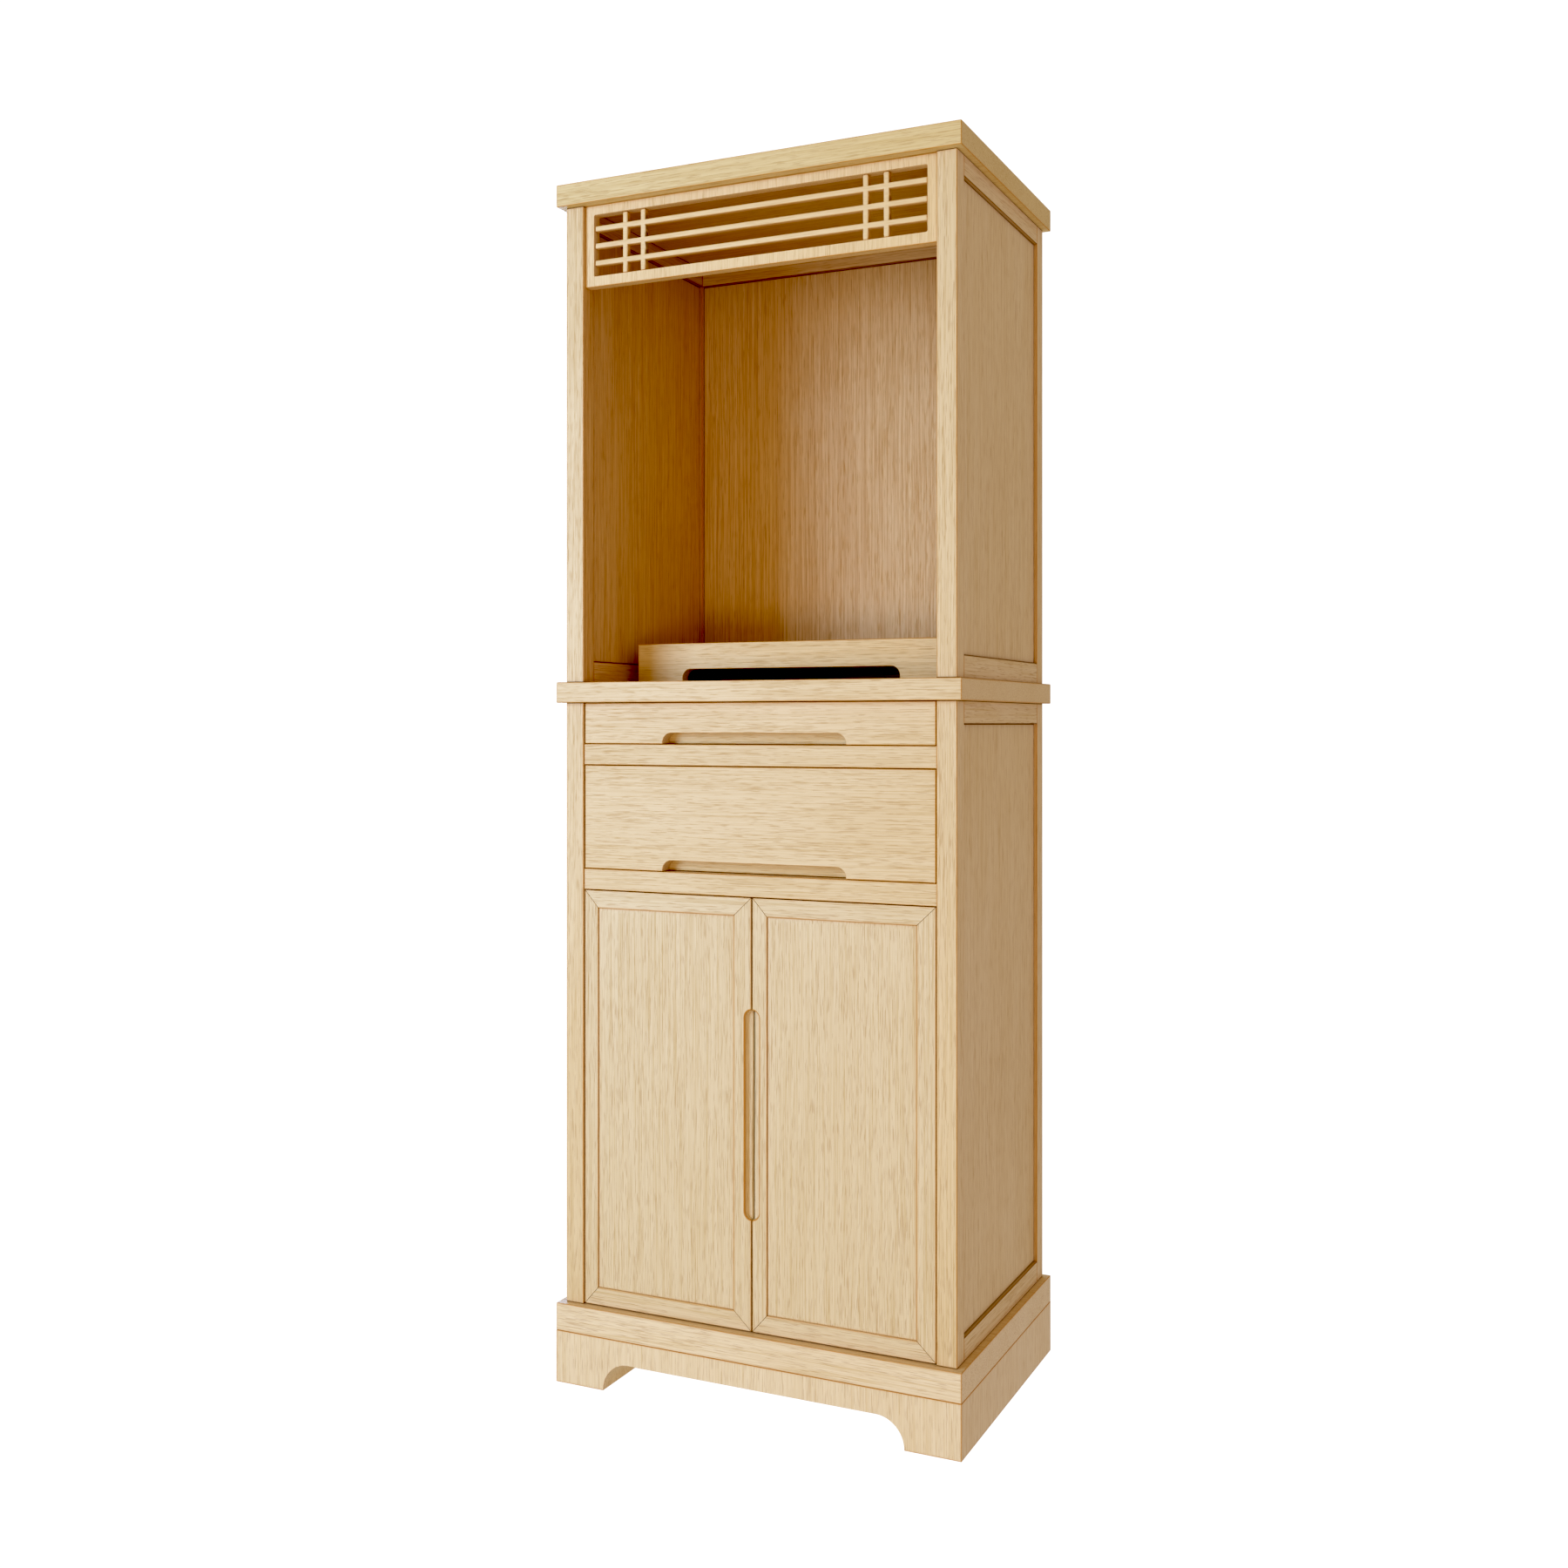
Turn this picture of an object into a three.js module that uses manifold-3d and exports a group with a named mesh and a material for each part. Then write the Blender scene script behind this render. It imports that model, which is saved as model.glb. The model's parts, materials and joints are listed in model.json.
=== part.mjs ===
import * as THREE from 'three';
import { mergeVertices } from 'three/addons/utils/BufferGeometryUtils.js';
import Module from 'manifold-3d';

// Household altar cabinet, in millimetres. X is the width, -Y the front and +Z up.
// The origin is on the floor under the middle of the boards' 610 x 410 outline.

// Boards that set the outline
const boardWidth = 610;
const boardDepth = 410;
const plinthHeight = 73.5;
const baseThickness = 39;
const waistThickness = 29;
const topThickness = 31;

// How far the boards stand out past the body, and the body's frame-and-panel work
const sideOverhang = 10;
const frontOverhang = 11.5;
const backOverhang = 9;
const post = 28;
const panelThickness = 18;
const lowerRailHeight = 30.5;
const upperRailTopHeight = 28;
const upperRailBottomHeight = 30.5;

// The lower cupboard, from the base board up, and the niche
const doorOpening = 592.5;
const deepDrawerOpening = 148.5;
const shallowDrawerOpening = 59;
const dividerThickness = 29.5;
const nicheHeight = 680.5;

// Plinth
const footWidth = 78;
const archHeight = 40.5;
const archRadius = 40;
const apronThickness = 30;

// Doors and drawer fronts lie a little behind the posts' front faces
const frontSetback = 2;
const sideGap = 1.5;
const drawerGap = 0.6;
const drawerTopGap = 0.8;
const doorThickness = 20;
const doorStileLeft = 22;
const doorStileRight = 26.5;
const doorRail = 25;
const doorPanelThickness = 14;
const doorPanelSetback = 1;
const doorBottomGap = 1.2;
const doorTopGap = 0.8;
const doorMeetingGap = 2;
const joinGap = 0.3;

// Finger pull that both doors share
const pullWidth = 21;
const pullBottom = 153.5;
const pullHeight = 285;
const pullDepth = 7.5;

// Drawers
const drawerFrontThickness = 20;
const drawerWall = 12;
const drawerBottomThickness = 6;
const drawerBottomRaise = 6;
const drawerBackClearance = 29.5;
const drawerSideClearance = 5;
const drawerBoxTopClearance = 8;
const notchWidth = 278;
const notchHeight = 15.4;
const notchRadius = 14;

// Lattice transom under the top board
const latticeSetback = 5.5;
const latticeThickness = 15;
const latticeStile = 14.5;
const latticeTopRail = 13.5;
const latticeOpening = 87.5;
const latticeBottomRail = 15;
const latticeCornerRadius = 2;
const barWidth = 7.5;
const barDepth = 10;
const barSetback = 1.5;
const barPitch = 24.5;
const barsFromLeft = [50, 79];
const barsFromRight = [87.5, 58];

// Riser in the niche
const riserSideClearance = 21;
const riserHeight = 59;
const riserFrontBoard = 18;
const riserSetback = 118.5;
const riserBackClearance = 8;
const riserSlotInset = 75.5;
const riserSlotHeight = 21;
const riserSlotRadius = 13;

// Steps in a quarter circle
const archSteps = 12;
const smallArcSteps = 6;

// Levels and faces worked out from the sizes above
const lowerHeight = doorOpening + deepDrawerOpening + shallowDrawerOpening + 2 * dividerThickness;
const baseBottom = plinthHeight;
const lowerBottom = baseBottom + baseThickness;
const lowerTop = lowerBottom + lowerHeight;
const nicheFloor = lowerTop + waistThickness;
const nicheTop = nicheFloor + nicheHeight;
const dividerLowerBottom = lowerBottom + doorOpening;
const deepDrawerFloor = dividerLowerBottom + dividerThickness;
const dividerUpperBottom = deepDrawerFloor + deepDrawerOpening;
const shallowDrawerFloor = dividerUpperBottom + dividerThickness;
const bodyHalf = boardWidth / 2 - sideOverhang;
const innerHalf = bodyHalf - post;
const bodyFront = -boardDepth / 2 + frontOverhang;
const bodyBack = boardDepth / 2 - backOverhang;
const frameFront = bodyFront + post;
const frameBack = bodyBack - post;
const panelRecess = (post - panelThickness) / 2;
const insetFront = bodyFront + frontSetback;
const drawerLength = frameBack - drawerBackClearance - insetFront;

const root = new THREE.Group();

const wasm = await Module();
wasm.setup();

// Wood finishes: the pale outside faces, the boards and the parts inside
const paleWood = new THREE.MeshStandardMaterial({ color: 0xd9c095, roughness: 0.5, metalness: 0 });
const boardWood = new THREE.MeshStandardMaterial({ color: 0xdcc49b, roughness: 0.48, metalness: 0 });
const insideWood = new THREE.MeshStandardMaterial({ color: 0xcdb082, roughness: 0.6, metalness: 0 });

function add(name, geometry, material, parent = root) {
  const mesh = new THREE.Mesh(geometry, material);
  mesh.name = name;
  parent.add(mesh);
  return mesh;
}

// A block between two corners, placed by its mesh's position
function block(name, low, high, material, parent = root) {
  const size = high.map((value, axis) => value - low[axis]);
  const mesh = add(name, new THREE.BoxGeometry(...size), material, parent);
  mesh.position.set(...high.map((value, axis) => (value + low[axis]) / 2));
  return mesh;
}

// An outline drawn in X and Z, extruded from the plane y = front towards the back
function upright(shape, front, thickness, steps) {
  const geometry = new THREE.ExtrudeGeometry(shape, {
    depth: thickness,
    bevelEnabled: false,
    curveSegments: steps,
  });
  geometry.rotateX(Math.PI / 2);
  geometry.translate(0, front + thickness, 0);
  return geometry;
}

// The path of an opening that starts at the bottom edge and has two round top corners
function archPath(path, half, bottom, height, radius) {
  const top = bottom + height;
  path.lineTo(-half, bottom);
  path.lineTo(-half, top - radius);
  path.absarc(-half + radius, top - radius, radius, Math.PI, Math.PI / 2, true);
  path.absarc(half - radius, top - radius, radius, Math.PI / 2, 0, true);
  path.lineTo(half, bottom);
}

// A board whose lower edge is cut by an arch in the middle
function archedBoard(half, bottom, top, archHalf, rise, radius) {
  const shape = new THREE.Shape();
  shape.moveTo(-half, top);
  shape.lineTo(-half, bottom);
  archPath(shape, archHalf, bottom, rise, radius);
  shape.lineTo(half, bottom);
  shape.lineTo(half, top);
  return shape;
}

function roundedRectangle(path, half, bottom, top, radius) {
  path.moveTo(-half + radius, bottom);
  path.absarc(half - radius, bottom + radius, radius, -Math.PI / 2, 0, false);
  path.absarc(half - radius, top - radius, radius, 0, Math.PI / 2, false);
  path.absarc(-half + radius, top - radius, radius, Math.PI / 2, Math.PI, false);
  path.absarc(-half + radius, bottom + radius, radius, Math.PI, 1.5 * Math.PI, false);
  return path;
}

// Booleans between closed solids
function toSolid(geometry) {
  const bare = geometry.clone();
  bare.deleteAttribute('normal');
  bare.deleteAttribute('uv');
  const merged = mergeVertices(bare);
  return new wasm.Manifold(new wasm.Mesh({
    numProp: 3,
    vertProperties: new Float32Array(merged.attributes.position.array),
    triVerts: new Uint32Array(merged.index.array),
  }));
}

function toGeometry(solid) {
  const mesh = solid.getMesh();
  const geometry = new THREE.BufferGeometry();
  geometry.setAttribute('position', new THREE.BufferAttribute(new Float32Array(mesh.vertProperties), 3));
  geometry.setIndex(new THREE.BufferAttribute(new Uint32Array(mesh.triVerts), 1));
  geometry.computeVertexNormals();
  return geometry;
}

// Plinth: runner feet on both sides, an arch through from front to back, a pocket between the aprons
function buildPlinth() {
  const archHalf = boardWidth / 2 - footWidth;
  const outline = archedBoard(boardWidth / 2, 0, plinthHeight, archHalf, archHeight, archRadius);
  const body = toSolid(upright(outline, -boardDepth / 2, boardDepth, archSteps));
  const pocketHalf = archHalf - archRadius;
  const pocket = new THREE.BoxGeometry(2 * pocketHalf, boardDepth - 2 * apronThickness, 2 * plinthHeight);
  pocket.translate(0, 0, plinthHeight / 2);
  add('plinth', toGeometry(body.subtract(toSolid(pocket))), paleWood);
}

// A board over the whole outline
function outlineBoard(name, bottom, thickness) {
  const low = [-boardWidth / 2, -boardDepth / 2, bottom];
  const high = [boardWidth / 2, boardDepth / 2, bottom + thickness];
  block(name, low, high, boardWood);
}

// Four posts with rails and recessed panels between them, on three sides
function buildFrame(prefix, bottom, top, topRail, bottomRail) {
  for (const [side, sign] of [['left', -1], ['right', 1]]) {
    const [xLow, xHigh] = sign < 0 ? [-bodyHalf, -innerHalf] : [innerHalf, bodyHalf];
    block(`${prefix}_post_front_${side}`, [xLow, bodyFront, bottom], [xHigh, frameFront, top], paleWood);
    block(`${prefix}_post_back_${side}`, [xLow, frameBack, bottom], [xHigh, bodyBack, top], paleWood);
    block(`${prefix}_rail_${side}_top`, [xLow, frameFront, top - topRail], [xHigh, frameBack, top], paleWood);
    block(`${prefix}_rail_${side}_bottom`, [xLow, frameFront, bottom], [xHigh, frameBack, bottom + bottomRail],
      paleWood);
    block(`${prefix}_panel_${side}`, [xLow + panelRecess, frameFront, bottom + bottomRail],
      [xHigh - panelRecess, frameBack, top - topRail], paleWood);
  }
  block(`${prefix}_rail_back_top`, [-innerHalf, frameBack, top - topRail], [innerHalf, bodyBack, top], paleWood);
  block(`${prefix}_rail_back_bottom`, [-innerHalf, frameBack, bottom], [innerHalf, bodyBack, bottom + bottomRail],
    paleWood);
  block(`${prefix}_panel_back`, [-innerHalf, frameBack + panelRecess, bottom + bottomRail],
    [innerHalf, bodyBack - panelRecess, top - topRail], paleWood);
}

// A full board between the posts, whose front edge shows as a rail
function buildDivider(name, bottom) {
  block(name, [-innerHalf, insetFront, bottom], [innerHalf, frameBack, bottom + dividerThickness], boardWood);
}

// A drawer: the notched front, and behind it an open box with a front of its own
function buildDrawer(prefix, floor, opening) {
  const drawer = new THREE.Group();
  drawer.position.set(0, insetFront, floor);
  root.add(drawer);
  const frontHalf = innerHalf - sideGap;
  const frontTop = opening - drawerTopGap;
  const outline = archedBoard(frontHalf, drawerGap, frontTop, notchWidth / 2, notchHeight, notchRadius);
  add(`${prefix}_front`, upright(outline, 0, drawerFrontThickness, smallArcSteps), boardWood, drawer);

  const half = innerHalf - drawerSideClearance;
  const start = drawerFrontThickness;
  const wallStart = start + drawerWall;
  const end = drawerLength - drawerWall;
  const top = opening - drawerBoxTopClearance;
  const bottomHigh = drawerGap + drawerBottomRaise;
  block(`${prefix}_inner_front`, [-half, start, drawerGap], [half, wallStart, top], insideWood, drawer);
  block(`${prefix}_side_left`, [-half, wallStart, drawerGap], [-half + drawerWall, end, top], insideWood, drawer);
  block(`${prefix}_side_right`, [half - drawerWall, wallStart, drawerGap], [half, end, top], insideWood, drawer);
  block(`${prefix}_back`, [-half, end, drawerGap], [half, drawerLength, top], insideWood, drawer);
  block(`${prefix}_bottom`, [-half + drawerWall, wallStart, bottomHigh],
    [half - drawerWall, end, bottomHigh + drawerBottomThickness], insideWood, drawer);
}

// One member of a mitred frame, from its long outer edge to its short inner edge.
// along runs with the outer edge and inward points from it to the inner edge. startWidth and
// endWidth are the widths of the members that it meets at its ends.
function mitredMember(start, end, along, inward, width, startWidth, endWidth) {
  const slack = joinGap / Math.SQRT2;
  const corner = (distance, depth) => [
    start[0] + along[0] * distance + inward[0] * depth,
    start[1] + along[1] * distance + inward[1] * depth,
  ];
  const length = Math.hypot(end[0] - start[0], end[1] - start[1]);
  const points = [
    corner(slack, 0),
    corner(length - slack, 0),
    corner(length - endWidth - slack, width),
    corner(startWidth + slack, width),
  ];
  return new THREE.Shape(points.map(([x, z]) => new THREE.Vector2(x, z)));
}

// A door: a mitred frame round a panel. side is -1 for the left door and 1 for the right one.
function buildDoor(prefix, side) {
  const hingeX = side * (innerHalf - sideGap);
  const width = innerHalf - sideGap - doorMeetingGap / 2;
  const bottom = doorBottomGap;
  const top = doorOpening - doorTopGap;
  const door = new THREE.Group();
  door.position.set(hingeX, insetFront, lowerBottom);
  root.add(door);

  const outer = side < 0 ? 0 : -width;
  const corners = {
    bottomLeft: [outer, bottom],
    bottomRight: [outer + width, bottom],
    topRight: [outer + width, top],
    topLeft: [outer, top],
  };
  const member = (start, end, along, inward, ...widths) => upright(
    mitredMember(start, end, along, inward, ...widths), 0, doorThickness, 1);
  const leftStile = member(corners.topLeft, corners.bottomLeft, [0, -1], [1, 0],
    doorStileLeft, doorRail, doorRail);
  const rightStile = member(corners.bottomRight, corners.topRight, [0, 1], [-1, 0],
    doorStileRight, doorRail, doorRail);
  const bottomRail = member(corners.bottomLeft, corners.bottomRight, [1, 0], [0, 1],
    doorRail, doorStileLeft, doorStileRight);
  const topRail = member(corners.topRight, corners.topLeft, [-1, 0], [0, -1],
    doorRail, doorStileRight, doorStileLeft);
  const hingeStile = side < 0 ? leftStile : rightStile;
  const meetingStile = side < 0 ? rightStile : leftStile;

  const pullHalf = pullWidth / 2;
  const slot = new THREE.Shape();
  slot.absarc(0, pullBottom + pullHeight - pullHalf, pullHalf, 0, Math.PI, false);
  slot.absarc(0, pullBottom + pullHalf, pullHalf, Math.PI, 2 * Math.PI, false);
  const cutter = upright(slot, -pullDepth, 2 * pullDepth, smallArcSteps);
  cutter.translate(-hingeX, 0, 0);
  const cutStile = toGeometry(toSolid(meetingStile).subtract(toSolid(cutter)));

  add(`${prefix}_stile_hinge`, hingeStile, paleWood, door);
  add(`${prefix}_stile_meeting`, cutStile, paleWood, door);
  add(`${prefix}_rail_bottom`, bottomRail, paleWood, door);
  add(`${prefix}_rail_top`, topRail, paleWood, door);
  const railInset = doorRail + joinGap;
  block(`${prefix}_panel`, [outer + doorStileLeft + joinGap, doorPanelSetback, bottom + railInset],
    [outer + width - doorStileRight - joinGap, doorPanelSetback + doorPanelThickness, top - railInset],
    paleWood, door);
}

// The transom: a frame cut from one board, and a grille of round-nosed bars in its opening
function buildLattice() {
  const front = bodyFront + latticeSetback;
  const openingTop = nicheTop - latticeTopRail;
  const openingBottom = openingTop - latticeOpening;
  const openingHalf = innerHalf - latticeStile;
  const frameBottom = openingBottom - latticeBottomRail;
  const outline = new THREE.Shape();
  outline.moveTo(-innerHalf, nicheTop);
  outline.lineTo(-innerHalf, frameBottom);
  outline.lineTo(innerHalf, frameBottom);
  outline.lineTo(innerHalf, nicheTop);
  outline.holes.push(roundedRectangle(new THREE.Path(), openingHalf, openingBottom, openingTop,
    latticeCornerRadius));
  add('lattice_frame', upright(outline, front, latticeThickness, smallArcSteps), paleWood);

  const middle = (openingBottom + openingTop) / 2;
  const longBar = roundNosedBar(2 * (openingHalf - joinGap));
  const shortBar = roundNosedBar(latticeOpening - 2 * joinGap);
  shortBar.rotateY(Math.PI / 2);
  let grille = null;
  const join = (geometry, x, z) => {
    const copy = geometry.clone();
    copy.translate(x, front + barSetback, z);
    grille = grille ? grille.add(toSolid(copy)) : toSolid(copy);
  };
  for (const row of [-1, 0, 1]) {
    join(longBar, 0, middle + row * barPitch);
  }
  for (const distance of barsFromLeft) {
    join(shortBar, distance - openingHalf, middle);
  }
  for (const distance of barsFromRight) {
    join(shortBar, openingHalf - distance, middle);
  }
  add('lattice_bars', toGeometry(grille), paleWood);
}

// A bar along X with its round nose at y = 0, towards the front
function roundNosedBar(length) {
  const radius = barWidth / 2;
  const section = new THREE.Shape();
  section.moveTo(barDepth, radius);
  section.lineTo(radius, radius);
  section.absarc(radius, 0, radius, Math.PI / 2, 1.5 * Math.PI, false);
  section.lineTo(barDepth, -radius);
  const bar = new THREE.ExtrudeGeometry(section, {
    depth: length,
    bevelEnabled: false,
    curveSegments: smallArcSteps,
  });
  bar.translate(0, 0, -length / 2);
  bar.rotateX(Math.PI / 2);
  bar.rotateZ(Math.PI / 2);
  return bar;
}

// The riser: a low stand, open underneath and at the back, with a long slot in its front
function buildRiser() {
  const riser = new THREE.Group();
  riser.position.set(0, bodyFront + riserSetback, nicheFloor);
  root.add(riser);
  const half = innerHalf - riserSideClearance;
  const depth = frameBack - riserBackClearance - bodyFront - riserSetback;
  const outline = archedBoard(half, 0, riserHeight, half - riserSlotInset, riserSlotHeight, riserSlotRadius);
  add('riser_front', upright(outline, 0, riserFrontBoard, smallArcSteps), boardWood, riser);
  const under = riserHeight - riserFrontBoard;
  block('riser_side_left', [-half, riserFrontBoard, 0], [-half + riserFrontBoard, depth, under], boardWood, riser);
  block('riser_side_right', [half - riserFrontBoard, riserFrontBoard, 0], [half, depth, under], boardWood, riser);
  block('riser_top', [-half, riserFrontBoard, under], [half, depth, riserHeight], boardWood, riser);
}

buildPlinth();
outlineBoard('base_board', baseBottom, baseThickness);
buildFrame('lower', lowerBottom, lowerTop, lowerRailHeight, lowerRailHeight);
buildDivider('divider_lower', dividerLowerBottom);
buildDivider('divider_upper', dividerUpperBottom);
buildDrawer('shallow_drawer', shallowDrawerFloor, shallowDrawerOpening);
buildDrawer('deep_drawer', deepDrawerFloor, deepDrawerOpening);
buildDoor('left_door', -1);
buildDoor('right_door', 1);
outlineBoard('waist_board', lowerTop, waistThickness);
buildFrame('upper', nicheFloor, nicheTop, upperRailTopHeight, upperRailBottomHeight);
buildLattice();
buildRiser();
outlineBoard('top_board', nicheTop, topThickness);

export default root;
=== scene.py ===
import json
import math
from typing import NamedTuple

import bmesh
import bpy
from bpy.props import FloatProperty, FloatVectorProperty, PointerProperty
from mathutils import Matrix, Vector


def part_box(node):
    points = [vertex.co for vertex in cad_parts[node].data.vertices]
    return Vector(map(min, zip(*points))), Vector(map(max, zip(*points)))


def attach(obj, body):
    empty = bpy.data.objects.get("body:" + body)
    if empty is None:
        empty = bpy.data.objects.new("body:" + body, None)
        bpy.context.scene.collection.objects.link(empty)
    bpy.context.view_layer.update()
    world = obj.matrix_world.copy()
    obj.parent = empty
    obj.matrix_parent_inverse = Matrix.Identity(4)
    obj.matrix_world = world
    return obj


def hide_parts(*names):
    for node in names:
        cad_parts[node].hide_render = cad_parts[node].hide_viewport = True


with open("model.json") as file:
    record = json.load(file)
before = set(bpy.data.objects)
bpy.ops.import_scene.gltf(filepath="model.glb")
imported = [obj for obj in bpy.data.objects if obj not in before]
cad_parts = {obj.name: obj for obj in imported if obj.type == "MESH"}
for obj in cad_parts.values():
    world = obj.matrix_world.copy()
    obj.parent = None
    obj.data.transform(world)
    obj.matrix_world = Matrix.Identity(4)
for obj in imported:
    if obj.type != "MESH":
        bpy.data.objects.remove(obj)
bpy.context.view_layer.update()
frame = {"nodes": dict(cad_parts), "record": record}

bl_info = {
    "name": "Altar Cabinet",
    "version": (1, 0, 0),
    "blender": (4, 5, 0),
    "location": "3D View > Sidebar > Altar Cabinet",
    "description": "Finishes the pale wooden household altar cabinet on its packed frame",
    "category": "Object",
}

MM = 0.001

# The body that each node rides on
BODY_OF = {node: body for body, nodes in frame["record"]["behaviour"]["bodies"].items() for node in nodes}

# The ways the grain runs, as axis numbers
ACROSS = 0
DEEP = 1
UPRIGHT = 2

STOREYS = ("lower", "upper")
SIDES = ("left", "right")
DRAWERS = ("shallow_drawer", "deep_drawer")

# How the names of the pieces round the niche start
NICHE_PIECES = ("upper_", "top_board", "waist_board")


def colour(name, description, default):
    """A colour that the user can change"""
    return FloatVectorProperty(
        name=name, description=description, default=default, subtype="COLOR", size=3, min=0, max=1)


def length(name, description, default):
    """A length that the user can change, in metres"""
    return FloatProperty(
        name=name, description=description, default=default, unit="LENGTH", precision=4, min=0)


def share(name, description, default, most=1.0):
    """A plain number that the user can change"""
    return FloatProperty(name=name, description=description, default=default, min=0, max=most)


class WoodSettings(bpy.types.PropertyGroup):
    """Colours and figure of the wood"""

    pale: colour("Pale wood", "Colour between the grain lines", (0.815, 0.605, 0.355))
    deep: colour("Deep wood", "Colour of the darker growth bands", (0.67, 0.44, 0.195))
    pore: colour("Pores", "Colour of the short dark pore lines", (0.50, 0.27, 0.10))
    # Painted shade: the darker, more orange colour laid along edges and on lips, where shade falls on
    # roundings and in creases
    edge: colour("Edges", "Warmer colour where oil gathers along an edge", (0.58, 0.22, 0.01))
    # Painted shade: the dark line laid where a piece meets its neighbour
    seam: colour("Panel seams", "Line where a panel meets its frame", (0.20, 0.085, 0.02))
    inside: colour("Drawer wood", "Colour of the plain wood inside the drawers", (0.72, 0.53, 0.30))
    # Warmer than the pale wood: painted warm shade inside the notches
    behind: colour("Wood behind the notches", "Colour seen through the notches", (0.82, 0.60, 0.295))
    foot: colour("Plinth wood", "Colour of the plinth and the board on it", (0.885, 0.69, 0.455))
    door: colour("Door wood", "Colour of the doors", (0.815, 0.626, 0.39))
    top: colour("Top board wood", "Colour of the top board", (0.79, 0.585, 0.30))
    riser: colour("Riser wood", "Colour of the riser in the niche", (0.84, 0.605, 0.31))
    lattice: colour("Lattice wood", "Colour of the lattice under the top board", (0.86, 0.625, 0.35))
    # Painted shade: how much the inner faces of the niche are darkened and browned
    niche: colour("Niche tone", "What the deeper finish of the niche takes away", (1.0, 0.92, 0.79))
    # Painted shade: how much more the niche is darkened just under its ceiling
    ceiling_shade: colour("Ceiling tone", "What years of incense take away at the ceiling", (0.6, 0.53, 0.42))
    # Widths of the painted shade at edges
    shade_line_width: length("Edge line width", "Width of the darker line right at an edge", 1.3 * MM)
    edge_width: length("Edge tint width", "How far the faint warm tint reaches from an edge", 4.0 * MM)
    pore_depth: length("Pore depth", "Depth of the pores in the surface relief", 0.25 * MM)
    satin: share("Roughness", "Roughness of the oiled surface", 0.46)


class JoinerySettings(bpy.types.PropertyGroup):
    """How far the edges of the pieces are eased"""

    board_ease: length("Board edges", "Rounding of the three wide boards", 1.1 * MM)
    post_ease: length("Post edges", "Rounding of the posts", 0.8 * MM)
    rail_ease: length("Rail edges", "Rounding of rails and panels", 0.7 * MM)
    drawer_ease: length("Drawer edges", "Rounding of the drawer fronts and the riser", 0.9 * MM)
    inside_ease: length("Inside edges", "Rounding of the drawer boxes", 1.0 * MM)
    frame_round: length("Door frame rounding", "Rounding along the outer edge of the door frames", 0.5 * MM)
    frame_lip: length("Door frame lip", "Rounding along the inner edge of the door frames", 0.6 * MM)
    panel_border: length("Panel border", "Width of the sloping border of the door panels", 5.5 * MM)
    panel_slope: length("Panel slope", "How far the border of the door panels falls away", 0.5 * MM)
    pull_lip: length("Pull lip", "Rounded lip round the finger pull", 2.0 * MM)
    bar_width: length("Lattice bar width", "Width of the bars of the lattice", 8.0 * MM)
    bar_pitch: length("Lattice bar pitch", "Height from one long bar to the next", 24.5 * MM)
    bar_ease: length("Lattice bar rounding", "Rounding of the edges of the bars", 2.2 * MM)


class StageSettings(bpy.types.PropertyGroup):
    """Floor, lights and camera"""

    floor_size: length("Floor size", "Width of the pale floor", 14.0)
    key_power: share("Key light", "Power of the large light at the front left, in watts", 104.0, 5000.0)
    low_power: share("Low light", "Power of the low light in front, in watts", 21.0, 5000.0)
    side_power: share("Side light", "Power of the cool light on the right, in watts", 15.5, 5000.0)
    back_power: share("Back light", "Power of the cool light behind, in watts", 70.0, 5000.0)
    top_power: share("Top light", "Power of the cool light overhead, in watts", 20.0, 5000.0)
    ambient: share("Ambient light", "Strength of the even light from all round", 0.53, 10.0)
    focal: share("Focal length", "Focal length of the camera in millimetres", 37.39, 200.0)


def settings():
    return bpy.context.scene.altar_cabinet


class CabinetSettings(bpy.types.PropertyGroup):
    """All that can be changed on the cabinet"""

    wood: PointerProperty(type=WoodSettings)
    joinery: PointerProperty(type=JoinerySettings)
    stage: PointerProperty(type=StageSettings)


# Shader maths


class Socket:
    """An output socket of a shader; arithmetic on it adds Math nodes"""

    def __init__(self, shader, socket):
        self.shader = shader
        self.socket = socket

    def maths(self, operation, first, second):
        return self.shader.node("ShaderNodeMath", {"operation": operation}, {0: first, 1: second})

    def __add__(self, other):
        return self.maths("ADD", self, other)

    def __radd__(self, other):
        return self.maths("ADD", other, self)

    def __sub__(self, other):
        return self.maths("SUBTRACT", self, other)

    def __rsub__(self, other):
        return self.maths("SUBTRACT", other, self)

    def __mul__(self, other):
        return self.maths("MULTIPLY", self, other)

    def __rmul__(self, other):
        return self.maths("MULTIPLY", other, self)

    def least(self, other):
        return self.maths("MINIMUM", self, other)

    def most(self, other):
        return self.maths("MAXIMUM", self, other)


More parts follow.
